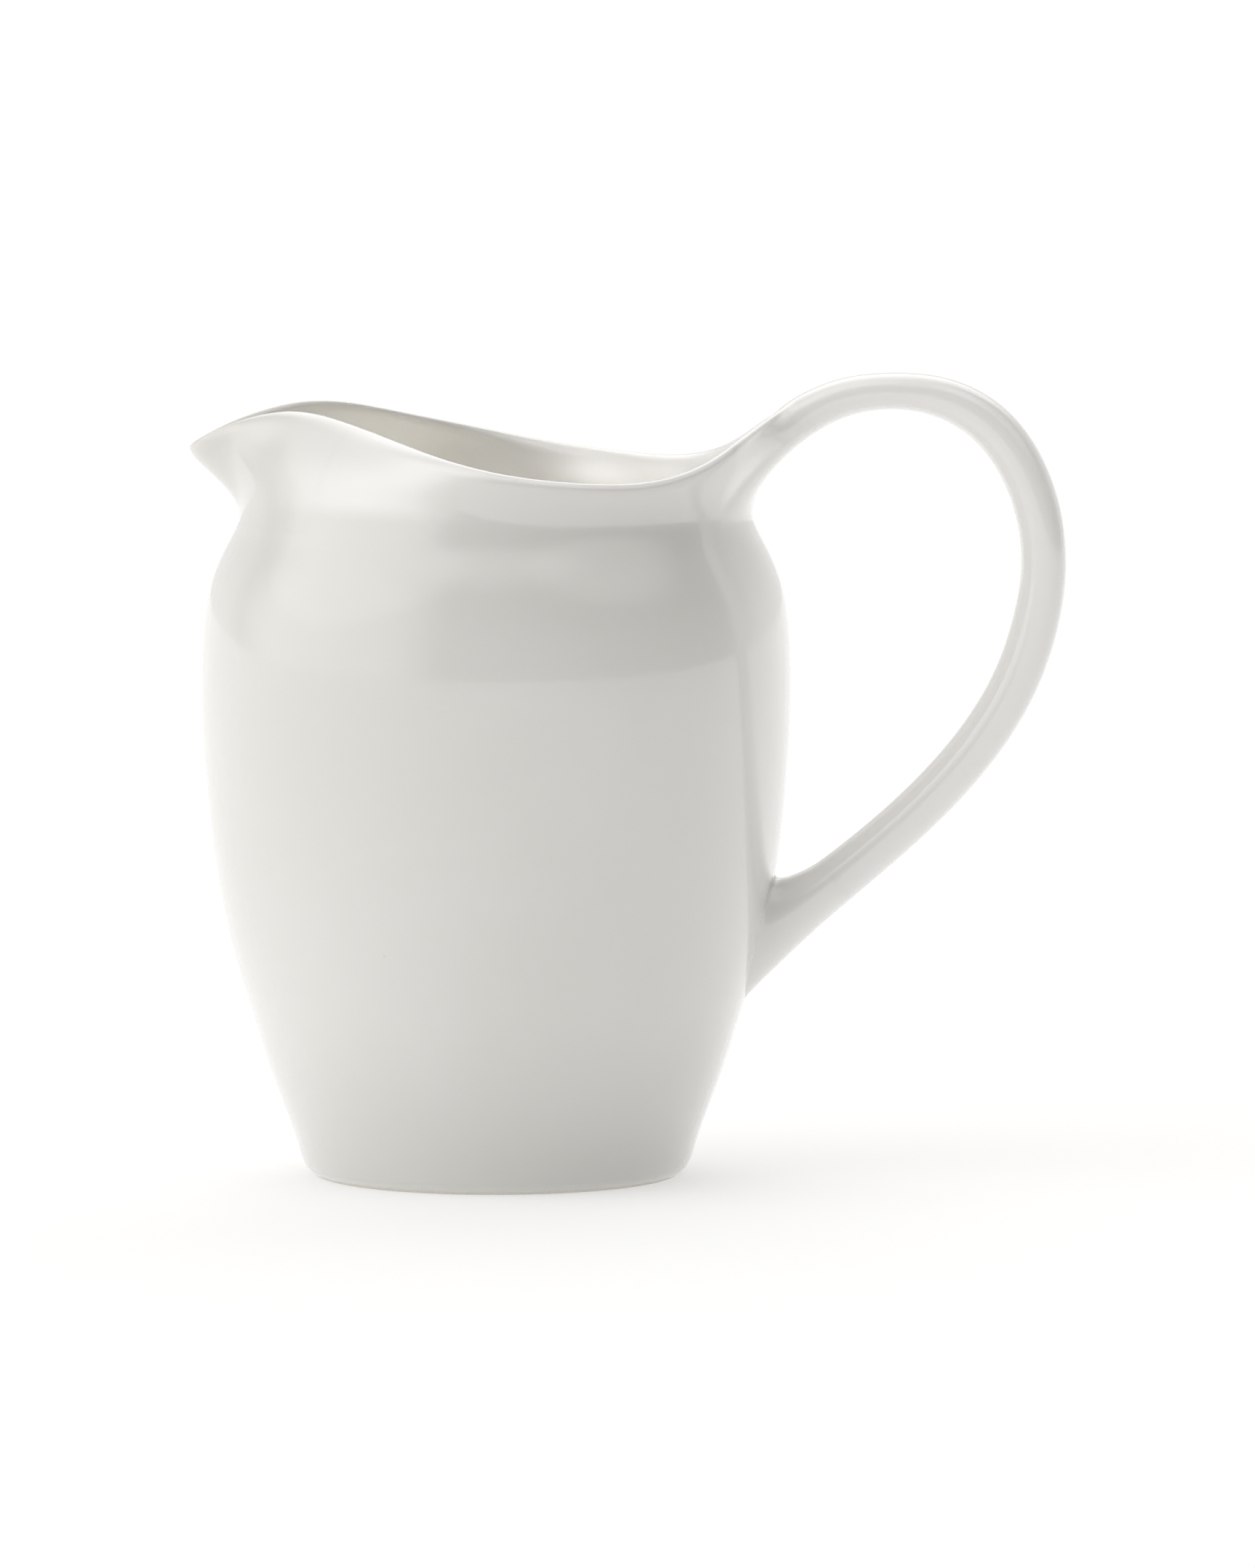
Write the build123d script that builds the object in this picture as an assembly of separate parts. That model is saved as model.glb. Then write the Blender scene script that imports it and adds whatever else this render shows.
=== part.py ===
from build123d import *
from math import cos, radians, sin
import os

# A glazed porcelain pitcher for the table. The maker joins six pieces: the cast body, its
# pouring spout, the cast handle, the slip joint at each end of the handle, and the foot ring.
#
# Millimetres. The origin is the centre of the foot, on the surface that the pitcher stands on.
# +Z is up, the spout points along -X and the handle along +X. The XZ plane is the mirror plane.

# ---- driving dimensions -------------------------------------------------------------------

WALL = 3.2  # thickness of the body, square to its surface
FLOOR_TOP = 5.6  # height of the inside of the floor
FOOT_OUTER_RADIUS = 31.2
FOOT_INNER_RADIUS = 26.6
FOOT_TOP = 2.0  # the foot ring ends here and the body begins
FOOT_BEVEL = 0.7  # on the inside edge of the ring
HEEL_RADIUS = 33.9  # at FOOT_TOP
HEEL_SLOPE = 60.0  # degrees from the horizontal, at FOOT_TOP

# The outside of the body as (radius, height), from the foot ring to above the rim.
BODY_PROFILE = [
    (HEEL_RADIUS, FOOT_TOP),
    (34.6, 3.5),
    (35.2, 5.5),
    (36.3, 9.0),
    (38.0, 13.5),
    (40.2, 19.5),
    (42.4, 26.5),
    (44.9, 34.5),
    (47.2, 43.0),
    (49.0, 52.0),
    (50.3, 61.0),
    (51.2, 70.0),
    (51.8, 79.0),
    (52.0, 88.0),
    (51.6, 97.0),
    (50.4, 104.5),
    (47.9, 110.6),
    (45.9, 114.6),
    (45.1, 118.0),
    (46.0, 121.8),
    (47.7, 125.6),
    (49.0, 130.0),
    (49.7, 135.0),
    (50.3, 142.0),
]

# The inside of the floor's rounded corner as (radius, height). The inside wall follows on.
BOWL_PROFILE = [(24.0, FLOOR_TOP), (28.4, 6.3), (31.8, 8.2), (34.0, 11.4)]

# How far the rim stands in or out of a round one at the height of the lip's tip, as
# (angle from the handle in degrees, millimetres). The flanks draw in and the lip runs out.
LIP_START = 116.0  # height where the outline stops being round
TIP_HEIGHT = 128.4  # the end of the pouring lip
LIP_GROWTH = 1.3  # how the lip grows from its start up, as a power of the height
LIP_STATIONS = [
    (0.0, 0.0),
    (30.0, 0.0),
    (55.0, 0.4),
    (74.0, -0.6),
    (90.0, -3.8),
    (109.0, -8.3),
    (130.0, -9.2),
    (148.0, -7.2),
    (159.5, -5.2),
    (166.0, -3.1),
    (171.0, -0.2),
    (175.5, 4.8),
    (180.0, 6.4),
]

# Heights of the outlines that the body's form is lofted through.
LIP_SECTIONS = [LIP_START, 118.5, 121.0, 123.5, 126.0, 128.5, 131.0, 134.0, 137.0, 141.0]
WALL_SECTIONS = [19.0, 26.0, 34.0, 43.0, 52.0, 61.0, 70.0, 79.0, 88.0, 96.0, 103.0, 109.0, 113.0]
HEEL_SECTIONS = [FOOT_TOP, 3.5, 5.5, 9.0, 13.5]
BOWL_SECTIONS = [FLOOR_TOP, 6.3, 8.2, 11.4, 14.6]

# The rim seen from the side, as (X, Z): down from the shoulders of the spout to the low
# point, then up into the root of the handle.
RIM_LINE = [
    (-62.0, 121.0),
    (-54.8, 128.3),
    (-46.0, 133.2),
    (-34.0, 135.9),
    (-22.0, 133.9),
    (0.0, 128.1),
    (22.0, 125.2),
    (34.0, 126.0),
    (42.0, 129.9),
    (49.0, 136.0),
    (55.0, 140.0),
]

# The spout and the root of the handle each take a sector out of the rim, down to the neck.
SEAM_HEIGHT = LIP_START
SPOUT_HALF_ANGLE = 48.0
ROOT_HALF_ANGLE = 26.0

# The handle as (X, Z, thickness in the mirror plane, width across it), from inside the back
# of the rim over the loop to inside the belly.
HANDLE_STATIONS = [
    (40.0, 122.4, 8.8, 22.0),
    (45.2, 127.3, 8.4, 15.6),
    (50.2, 131.6, 7.8, 11.8),
    (55.0, 135.0, 7.2, 10.2),
    (60.6, 137.6, 6.8, 9.8),
    (70.4, 139.0, 6.5, 9.8),
    (80.0, 137.4, 7.2, 9.8),
    (87.4, 132.8, 7.8, 9.8),
    (93.4, 124.0, 8.0, 9.8),
    (96.5, 110.0, 8.0, 9.8),
    (95.0, 98.0, 8.2, 9.8),
    (91.4, 87.7, 8.2, 9.8),
    (85.2, 77.4, 8.2, 9.8),
    (76.2, 67.0, 8.2, 9.8),
    (68.0, 59.4, 8.3, 9.8),
    (60.2, 52.9, 8.7, 10.4),
    (54.4, 48.2, 9.5, 12.0),
    (48.5, 43.1, 10.6, 14.6),
    (42.6, 38.0, 12.4, 16.4),
]
UPPER_SEAM_STATION = 3  # the handle ends and a slip joint begins at these two stations
LOWER_SEAM_STATION = 15

REACH = 200.0  # larger than the pitcher, for the tools that cut it


# ---- the body's outline ---------------------------------------------------------------------


def position_at_height(edge, height):
    """Where along a rising edge its height is reached, as a share of its length."""
    low, high = 0.0, 1.0
    for _ in range(40):
        middle = (low + high) / 2.0
        if edge.position_at(middle).Z < height:
            low = middle
        else:
            high = middle
    return low


def radius_at(edge, height):
    """The radius of a profile edge at a height."""
    return edge.position_at(position_at_height(edge, height)).X


def inner_profile(outside):
    """The inside of the wall: the outside set in square to its surface, over the bowl."""
    points = [Vector(radius, 0, height) for radius, height in BOWL_PROFILE]
    for height in WALL_SECTIONS + LIP_SECTIONS:
        share = position_at_height(outside, height)
        tangent = outside.tangent_at(share)
        points.append(outside.position_at(share) + Vector(-tangent.Z, 0, tangent.X) * WALL)
    return Edge.make_spline(points)


def outline(profile, height):
    """The closed outline of the body at one height."""
    radius = radius_at(profile, height)
    share = max(0.0, (height - LIP_START) / (TIP_HEIGHT - LIP_START)) ** LIP_GROWTH
    right = [(radius + share * lip, radians(angle)) for angle, lip in LIP_STATIONS]
    left = [(reach, -angle) for reach, angle in right[-2:0:-1]]
    points = [Vector(r * cos(a), r * sin(a), height) for r, a in right + left]
    return Face(Wire([Edge.make_spline(points, periodic=True)]))


def above_rim():
    """Everything above the line of the rim."""
    points = [Vector(x, 0, z) for x, z in RIM_LINE]
    corners = [(points[-1].X, REACH), (-REACH / 2, REACH), (-REACH / 2, points[0].Z)]
    path = [points[-1]] + [Vector(x, 0, z) for x, z in corners] + [points[0]]
    sides = [Edge.make_line(start, end) for start, end in zip(path, path[1:])]
    return extrude(Face(Wire([Edge.make_spline(points)] + sides)), amount=REACH / 2, both=True)


def sector(middle_angle, half_angle):
    """A wedge about the axis, from the neck up."""
    corners = [(0.0, 0.0)]
    for angle in (middle_angle - half_angle, middle_angle, middle_angle + half_angle):
        corners.append((REACH * cos(radians(angle)), REACH * sin(radians(angle))))
    outline_wire = Wire.make_polygon([Vector(x, y, SEAM_HEIGHT) for x, y in corners])
    return extrude(Face(outline_wire), amount=REACH, dir=(0, 0, 1))


# ---- the handle -----------------------------------------------------------------------------


def half_space(plane):
    """A block that fills the side of the plane that its normal points to."""
    return plane * Box(REACH, REACH, REACH, align=(Align.CENTER, Align.CENTER, Align.MIN))


def handle_plane(path, station):
    """The plane square to the handle at a station, with its normal along the handle."""
    x, z, _, _ = HANDLE_STATIONS[station]
    point = Vector(x, 0, z)
    return Plane(origin=point, x_dir=(0, 1, 0), z_dir=path.tangent_at(path.param_at_point(point)))


def handle_form(path):
    """The whole handle with both ends run into the body."""
    sections = []
    for station, (_, _, thickness, width) in enumerate(HANDLE_STATIONS):
        sections.append(handle_plane(path, station) * Ellipse(width / 2, thickness / 2))
    return loft(sections)


# ---- the pieces -----------------------------------------------------------------------------

outside = Edge.make_spline([Vector(radius, 0, height) for radius, height in BODY_PROFILE])
inside = inner_profile(outside)
above_heel = WALL_SECTIONS + LIP_SECTIONS
outer = loft([outline(outside, height) for height in HEEL_SECTIONS + above_heel])
inner = loft([outline(inside, height) for height in BOWL_SECTIONS + above_heel])

ring_corners = [
    Vector(HEEL_RADIUS, 0, FOOT_TOP),
    Vector(FOOT_INNER_RADIUS, 0, FOOT_TOP),
    Vector(FOOT_INNER_RADIUS, 0, FOOT_BEVEL),
    Vector(FOOT_INNER_RADIUS + FOOT_BEVEL, 0, 0),
    Vector(FOOT_OUTER_RADIUS, 0, 0),
]
ring_sides = [Edge.make_line(start, end) for start, end in zip(ring_corners, ring_corners[1:])]
heel_direction = Vector(-cos(radians(HEEL_SLOPE)), 0, -sin(radians(HEEL_SLOPE)))
heel = Edge.make_tangent_arc(ring_corners[0], heel_direction, ring_corners[-1])
foot_ring = revolve(Face(Wire([heel] + ring_sides)), Axis.Z)

shell = outer - inner - above_rim()
spout_sector = sector(180.0, SPOUT_HALF_ANGLE)
root_sector = sector(0.0, ROOT_HALF_ANGLE)

handle_line = Edge.make_spline([Vector(x, 0, z) for x, z, _, _ in HANDLE_STATIONS])
whole_handle = handle_form(handle_line) - outer
upper_half = Pos(0, 0, 190) * Box(REACH, REACH, REACH)
lower_half = Pos(0, 0, -10) * Box(REACH, REACH, REACH)
upper_end = half_space(-handle_plane(handle_line, UPPER_SEAM_STATION)) & upper_half
lower_end = half_space(handle_plane(handle_line, LOWER_SEAM_STATION)) & lower_half

pieces = {
    "body_shell": shell - spout_sector - root_sector,
    "pouring_spout": shell & spout_sector,
    "foot_ring": foot_ring,
    "handle": whole_handle - upper_end - lower_end,
    "upper_handle_joint": (shell & root_sector) + (whole_handle & upper_end),
    "lower_handle_joint": whole_handle & lower_end,
}

os.makedirs("parts", exist_ok=True)
for name, piece in pieces.items():
    box = piece.bounding_box()
    print(name, len(piece.solids()), round(piece.volume), box.min, box.max)
    export_step(piece, f"parts/{name}.step")
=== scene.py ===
"""A glazed porcelain pitcher: a rounded body, a pinched spout and a high loop handle.

Sizes are held in millimetres, as a potter measures them, and every mesh is written in metres. The
origin is the centre of the foot, +Z is up, the spout points along -X and the handle along +X.
"""

from __future__ import annotations

import logging
import math
from dataclasses import dataclass, field
from enum import Enum
import bpy
import numpy as np
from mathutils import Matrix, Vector


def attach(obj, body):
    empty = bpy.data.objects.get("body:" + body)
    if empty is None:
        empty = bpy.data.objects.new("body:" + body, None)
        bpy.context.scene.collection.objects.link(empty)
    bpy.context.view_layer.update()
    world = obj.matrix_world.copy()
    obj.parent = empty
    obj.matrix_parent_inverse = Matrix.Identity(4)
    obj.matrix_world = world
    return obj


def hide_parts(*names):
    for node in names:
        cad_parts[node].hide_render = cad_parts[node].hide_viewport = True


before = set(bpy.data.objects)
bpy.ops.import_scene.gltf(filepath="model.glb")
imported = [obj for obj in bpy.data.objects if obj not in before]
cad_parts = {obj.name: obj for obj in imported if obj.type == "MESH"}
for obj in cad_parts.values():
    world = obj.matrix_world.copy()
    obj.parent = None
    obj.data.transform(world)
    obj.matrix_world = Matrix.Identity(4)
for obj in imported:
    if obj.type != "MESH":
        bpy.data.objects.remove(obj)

log = logging.getLogger("pitcher")

MM = 0.001
TINY = 1e-9
SHORTEST = 1e-12
DIFFUSE_BOUNCES = 8
GLAZE_ROUGHNESS = 0.16
COAT = {"Coat Roughness": 0.035, "Coat IOR": 1.52}
WHITE = (1.0, 1.0, 1.0, 1.0)
UP = np.array([0.0, 0.0, 1.0])
Array = np.ndarray
Colour = tuple[float, float, float]
Socket = bpy.types.NodeSocket


def unit(vectors: Array) -> Array:
    """Scale vectors along the last axis to length one."""
    return vectors / np.maximum(np.linalg.norm(vectors, axis=-1, keepdims=True), SHORTEST)


def direction(azimuth: float, elevation: float) -> tuple[float, float, float]:
    """The way to something that is seen from the pitcher.

    Args:
        azimuth: Degrees from the front, towards the handle.
        elevation: Degrees above level.

    Returns:
        X, Y and Z of a vector of length one.
    """
    turn, rise = math.radians(azimuth), math.radians(elevation)
    return (math.cos(rise) * math.sin(turn), -math.cos(rise) * math.cos(turn), math.sin(rise))


# ---- curves ----


class Curve:
    """A smooth curve through stations: a natural cubic spline of one or more values."""

    def __init__(self, knots: list[float], values: list) -> None:
        """Fit the curve.

        Args:
            knots: Rising positions of the stations.
            values: One value, or one row of values, for each station.
        """
        self.knots = np.asarray(knots, float)
        self.values = np.asarray(values, float).reshape(len(knots), -1)
        step = np.diff(self.knots)
        count = len(self.knots)
        system = np.eye(count)
        right = np.zeros((count, self.values.shape[1]))
        rise = np.diff(self.values, axis=0) / step[:, None]
        for i in range(1, count - 1):
            system[i, i - 1 : i + 2] = step[i - 1], 2.0 * (step[i - 1] + step[i]), step[i]
            right[i] = 6.0 * (rise[i] - rise[i - 1])
        self.bends = np.linalg.solve(system, right)

    def __call__(self, at: Array | float, order: int = 0) -> Array:
        """Read the curve.

        Args:
            at: Positions on the curve, of any shape.
            order: 0 for the value and 1 for its slope.

        Returns:
            The values, with the shape of the positions, and one more axis for a row of values.
        """
        where = np.clip(np.asarray(at, float), self.knots[0], self.knots[-1])
        span = np.clip(np.searchsorted(self.knots, where) - 1, 0, len(self.knots) - 2)
        step = (self.knots[span + 1] - self.knots[span])[..., None]
        low, high = self.values[span], self.values[span + 1]
        bend_low, bend_high = self.bends[span], self.bends[span + 1]
        past = (where - self.knots[span])[..., None] / step
        left = 1.0 - past
        if order == 0:
            bent = ((left**3 - left) * bend_low + (past**3 - past) * bend_high) * step**2 / 6.0
            found = left * low + past * high + bent
        else:
            bent = ((3 * past**2 - 1) * bend_high - (3 * left**2 - 1) * bend_low) * step / 6.0
            found = (high - low) / step + bent
        return found[..., 0] if self.values.shape[1] == 1 else found


def through(stations: list[tuple[float, float]]) -> Curve:
    """Fit a curve through pairs of a position and a value."""
    return Curve([at for at, _ in stations], [value for _, value in stations])


# ---- meshes ----


@dataclass
class Patch:
    """A grid of quads with its own normals."""

    points: Array
    normals: Array | None = None
    flip: bool = False

    def faces(self) -> tuple[Array, Array]:
        """The quads of the patch.

        Returns:
            The points of each quad, as places in the flattened grid, and the normal at each of them.
        """
        rows, columns = self.points.shape[:2]
        index = np.arange(rows * columns).reshape(rows, columns)
        corners = [index[:-1, :-1], index[:-1, 1:], index[1:, 1:], index[1:, :-1]]
        quad = np.stack(corners, -1).reshape(-1, 4)
        if self.normals is None:
            corner = self.points.reshape(-1, 3)[quad]
            across = np.cross(corner[:, 2] - corner[:, 0], corner[:, 3] - corner[:, 1])
            normal = np.repeat(unit(across)[:, None], 4, axis=1)
            normal = -normal if self.flip else normal
        else:
            normal = self.normals.reshape(-1, 3)[quad]
        if self.flip:
            quad, normal = quad[:, ::-1], normal[:, ::-1]
        return quad, normal


@dataclass
class ClayMesh:
    """Patches that are welded where they meet into one closed mesh."""

    patches: list[Patch] = field(default_factory=list)
    weld_decimals: int = 4

    def add(self, points: Array, normals: Array | None = None, flip: bool = False) -> None:
        """Add a patch of quads.

        Args:
            points: Rows by columns by 3, in millimetres.
            normals: The same shape, or nothing for a flat patch.
            flip: Turn the faces to look the other way.
        """
        self.patches.append(Patch(np.asarray(points, float), normals, flip))

    def add_fan(self, ring: Array, centre: Array, flip: bool = False) -> None:
        """Close a ring, whose last point repeats its first, with a flat fan."""
        self.add(np.stack([ring, np.broadcast_to(centre, ring.shape)]), None, flip)

    def build(self, name: str) -> bpy.types.Object:
        """Weld the patches and make the Blender object.

        Args:
            name: The name of the object.

        Returns:
            The object, linked to the scene, in metres.
        """
        points, quads, normals, base = [], [], [], 0
        for patch in self.patches:
            quad, normal = patch.faces()
            points.append(patch.points.reshape(-1, 3))
            quads.append(quad + base)
            normals.append(normal)
            base += len(points[-1])
        every = np.concatenate(points)
        rounded = np.round(every, self.weld_decimals)
        _, first, welded = np.unique(rounded, axis=0, return_index=True, return_inverse=True)
        quad = welded.reshape(-1)[np.concatenate(quads)]
        normal = np.concatenate(normals)
        keep = quad != np.roll(quad, 1, axis=1)
        sides = keep.sum(axis=1)
        usable = sides >= 3
        keep, quad, normal, sides = keep[usable], quad[usable], normal[usable], sides[usable]
        mesh = bpy.data.meshes.new(name)
        mesh.vertices.add(len(first))
        mesh.vertices.foreach_set("co", (every[first] * MM).astype(np.float32).ravel())
        mesh.loops.add(int(sides.sum()))
        mesh.loops.foreach_set("vertex_index", quad[keep].astype(np.int32))
        mesh.polygons.add(len(quad))
        starts = np.concatenate([[0], np.cumsum(sides)[:-1]]).astype(np.int32)
        mesh.polygons.foreach_set("loop_start", starts)
        mesh.update(calc_edges=True)
        mesh.polygons.foreach_set("use_smooth", np.ones(len(quad), bool))
        if mesh.validate():
            log.warning("%s needed its mesh mended", name)
        else:
            mesh.normals_split_custom_set(unit(normal[keep]).tolist())
        made = bpy.data.objects.new(name, mesh)
        bpy.context.scene.collection.objects.link(made)
        return made


# ---- the body's form ----


def lip_curve() -> Curve:
    """The reach of the lip, carried past both ends so that it runs smoothly through them.

    Returns:
        How far the rim stands out, by the angle from the handle.
    """
    half = [
        (0.0, 0.0),
        (30.0, 0.0),
        (55.0, 0.4),
        (74.0, -0.6),
        (90.0, -3.8),
        (109.0, -8.3),
        (130.0, -9.2),
        (148.0, -7.2),
        (159.5, -5.2),
        (166.0, -3.1),
        (171.0, -0.2),
        (175.5, 4.8),
        (180.0, 6.4),
    ]
    before = [(-angle, reach) for angle, reach in half[3:0:-1]]
    after = [(360.0 - angle, reach) for angle, reach in half[-2:-6:-1]]
    return through(before + half + after)


def profile_curve() -> Curve:
    """The outside of the body, from the foot ring to above the rim.

    Returns:
        Its radius by height.
    """
    stations = [
        (2.0, 33.9),
        (3.5, 34.6),
        (5.5, 35.2),
        (9.0, 36.3),
        (13.5, 38.0),
        (19.5, 40.2),
        (26.5, 42.4),
        (34.5, 44.9),
        (43.0, 47.2),
        (52.0, 49.0),
        (61.0, 50.3),
        (70.0, 51.2),
        (79.0, 51.8),
        (88.0, 52.0),
        (97.0, 51.6),
        (104.5, 50.4),
        (110.6, 47.9),
        (114.6, 45.9),
        (118.0, 45.1),
        (121.8, 46.0),
        (125.6, 47.7),
        (130.0, 49.0),
        (135.0, 49.7),
        (142.0, 50.3),
    ]
    return through(stations)


def rim_curve() -> Curve:
    """The line of the rim, seen from the side.

    Returns:
        Its height by X.
    """
    stations = [
        (-62.0, 121.0),
        (-54.8, 128.3),
        (-46.0, 133.2),
        (-34.0, 135.9),
        (-22.0, 133.9),
        (0.0, 128.1),
        (22.0, 125.2),
        (34.0, 126.0),
        (42.0, 129.9),
        (49.0, 136.0),
        (55.0, 140.0),
    ]
    return through(stations)


@dataclass
class BodyForm:
    """The cast wall: a round body whose top grows a pinched lip and a saddle-shaped rim."""

    wall: float = 3.2
    foot_top: float = 2.0
    floor_top: float = 5.6
    bowl_flat: float = 24.0
    bowl_corner: tuple[tuple[float, float], ...] = ((6.3, 28.4), (8.2, 31.8), (11.4, 34.0))
    bowl_top: float = 14.6
    inside_top: float = 141.0
    inside_samples: int = 90
    seam_height: float = 116.0
    tip_height: float = 128.4
    lip_growth: float = 1.3
    lip_ease: float = 0.14
    rim_drop: float = 2.1
    root_drop: float = 3.1
    root_half_angle: float = 26.0
    swell_end: float = 62.0
    spout_half_angle: float = 48.0
    rim_rounds: int = 80
    probe: float = 0.25
    root_columns: int = 40
    flank_columns: int = 72
    spout_columns: int = 96
    upper_rows: int = 14
    upper_ease: float = 1.25
    crest_rows: int = 10
    heel_levels: tuple[float, ...] = (2.7, 3.5, 4.4, 5.5, 6.8, 8.2)
    belly_start: float = 9.6
    belly_rows: int = 82
    bowl_rows: int = 79
    corner_levels: tuple[float, ...] = (13.2, 11.8, 10.4, 9.2, 8.2, 7.5, 6.9, 6.4, 6.05, 5.8)
    floor_rings: int = 14
    profile: Curve = field(default_factory=profile_curve)
    lip: Curve = field(default_factory=lip_curve)
    rim: Curve = field(default_factory=rim_curve)

    def __post_init__(self) -> None:
        """Set the angles of the columns and the inside profile."""
        root, spout = self.root_half_angle, 180.0 - self.spout_half_angle
        self.angles = np.concatenate(
            [
                np.linspace(-root, root, self.root_columns + 1)[:-1],
                np.linspace(root, spout, self.flank_columns + 1)[:-1],
                np.linspace(spout, 360.0 - spout, self.spout_columns + 1)[:-1],
                np.linspace(360.0 - spout, 360.0 - root, self.flank_columns + 1),
            ]
        )
        heights = np.linspace(self.bowl_top, self.inside_top, self.inside_samples)
        slope = self.profile(heights, 1)
        across = np.hypot(1.0, slope)
        radius = self.profile(heights) - self.wall / across
        moved = heights + self.wall * slope / across
        inside = [(self.floor_top, self.bowl_flat), *self.bowl_corner]
        inside += [(z, r) for z, r in zip(moved, radius) if z > self.bowl_top]
        self.inside = through(inside)

    def reach(self, profile: Curve, degrees: Array, height: Array) -> Array:
        """The distance of the wall from the axis.

        Args:
            profile: The outside or the inside profile.
            degrees: Angles from the handle, counter-clockwise from above.
            height: Heights, in a shape that goes with the angles.

        Returns:
            Distances, with one row for each row of heights.
        """
        share = np.maximum(0.0, (height - self.seam_height) / (self.tip_height - self.seam_height))
        folded = np.abs((degrees + 180.0) % 360.0 - 180.0)
        ease, power = self.lip_ease**2, self.lip_growth / 2.0
        start, full = ease**power, (1.0 + ease) ** power
        grown = ((share**2 + ease) ** power - start) / (full - start)
        return profile(height) + grown * self.lip(folded)

    def place(self, profile: Curve, degrees: Array, height: Array) -> Array:
        """Points on a face of the wall.

        Args:
            profile: The outside or the inside profile.
            degrees: Angles from the handle.
            height: Heights, in a shape that goes with the angles.

        Returns:
            The points, with one more axis for X, Y and Z.
        """
        turn = np.radians(degrees)
        reach = self.reach(profile, degrees, height)
        return np.stack([reach * np.cos(turn), reach * np.sin(turn), height + 0.0 * reach], -1)

    def rim_height(self, profile: Curve, degrees: Array) -> Array:
        """The height where a face of the wall meets the line of the rim.

        Args:
            profile: The outside or the inside profile.
            degrees: Angles from the handle.

        Returns:
            One height for each angle.
        """
        height = np.full_like(degrees, self.tip_height)
        for _ in range(self.rim_rounds):
            x = self.reach(profile, degrees, height) * np.cos(np.radians(degrees))
            height = 0.5 * height + 0.5 * self.rim(x)
        return height

    def upper_band(self) -> Array:
        """The wall above the seams, from the outside over the rounded rim to the inside.

        Returns:
            Rows by columns by 3: the outer rows, the crest and the inner rows.
        """
        folded = np.abs((self.angles + 180.0) % 360.0 - 180.0)
        near = np.clip((self.swell_end - folded) / (self.swell_end - self.root_half_angle), 0.0, 1.0)
        drop = self.rim_drop + (self.root_drop - self.rim_drop) * near**2 * (3.0 - 2.0 * near)
        base_outer = self.rim_height(self.profile, self.angles) - drop
        base_inner = self.rim_height(self.inside, self.angles) - drop
        rise = np.linspace(0.0, 1.0, self.upper_rows + 1)[:, None]
        rise = 1.0 - (1.0 - rise) ** self.upper_ease
        seam = self.seam_height
        outer = self.place(self.profile, self.angles, seam + rise * (base_outer - seam))
        inner = self.place(self.inside, self.angles, seam + rise * (base_inner - seam))
        lower = self.place(self.profile, self.angles, base_outer - self.probe)
        lower_inner = self.place(self.inside, self.angles, base_inner - self.probe)
        along = unit(unit(outer[-1] - lower) + unit(inner[-1] - lower_inner))
        lift = drop[:, None] / along[:, 2:]
        turn = np.linspace(0.0, math.pi, self.crest_rows + 1)[1:-1, None, None]
        middle, half = (outer[-1] + inner[-1]) / 2.0, (outer[-1] - inner[-1]) / 2.0
        crest = middle + half * np.cos(turn) + along * lift * np.sin(turn)
        return np.concatenate([outer, crest, inner[::-1]])

    def skin(self) -> tuple[Array, Array, int]:
        """The glazed skin from the heel over the rim to the middle of the floor.

        Returns:
            The points and their normals, rows by columns by 3, and the row of the outer seam.
        """
        belly = np.linspace(self.belly_start, self.seam_height, self.belly_rows + 1)[:-1]
        rows = np.concatenate([[self.foot_top], self.heel_levels, belly])
        below = self.place(self.profile, self.angles, rows[:, None])
        band = self.upper_band()
        bowl = np.linspace(self.seam_height, self.bowl_top, self.bowl_rows + 1)[1:]
        inner_rows = np.concatenate([bowl, self.corner_levels, [self.floor_top]])
        inside = self.place(self.inside, self.angles, inner_rows[:, None])
        shares = np.linspace(1.0, 0.0, self.floor_rings + 1)[1:, None, None]
        floor = inside[-1] * shares + UP * self.floor_top * (1.0 - shares)
        points = np.concatenate([below, band, inside, floor])
        normals = grid_normals(points, closed=True)
        normals[-1] = UP
        return points, normals, len(rows)


def tangents(points: Array, closed: bool) -> Array:
    """Directions along the rows' first axis, whatever the spacing of the points.

    Args:
        points: Steps by anything by 3.
        closed: Whether the last step repeats the first.

    Returns:
        Directions of the same shape.
    """
    if closed:
        points = np.concatenate([points[-2:-1], points, points[1:2]])
    step = np.diff(points, axis=0)
    length = np.maximum(np.linalg.norm(step, axis=-1, keepdims=True), TINY)
    inner = unit(step[1:] * length[:-1] ** 2 + step[:-1] * length[1:] ** 2)
    if closed:
        return inner
    first = 2.0 * step[:1] / length[:1] - inner[:1]
    last = 2.0 * step[-1:] / length[-1:] - inner[-1:]
    return np.concatenate([first, inner, last])


def grid_normals(points: Array, closed: bool) -> Array:
    """Smooth normals of a grid, to the left of its rows as they rise and columns as they turn.

    Args:
        points: Rows by columns by 3.
        closed: Whether the last column repeats the first.

    Returns:
        Normals of the same shape.
    """
    down = tangents(points, False)
    across = np.moveaxis(tangents(np.moveaxis(points, 1, 0), closed), 0, 1)
    return unit(np.cross(across, down))


def ladder(band: Array, column: int) -> Array:
    """The cut through the wall at one column, from the seam up to the crest.

    Args:
        band: The wall above the seams.
        column: Where the cut is.

    Returns:
        Rows by 2 by 3: the outer and the inner point at each level.
    """
    half = (len(band) + 1) // 2
    return np.stack([band[:half, column], band[::-1][:half, column]], axis=1)


# ---- the handle's form ----


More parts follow.
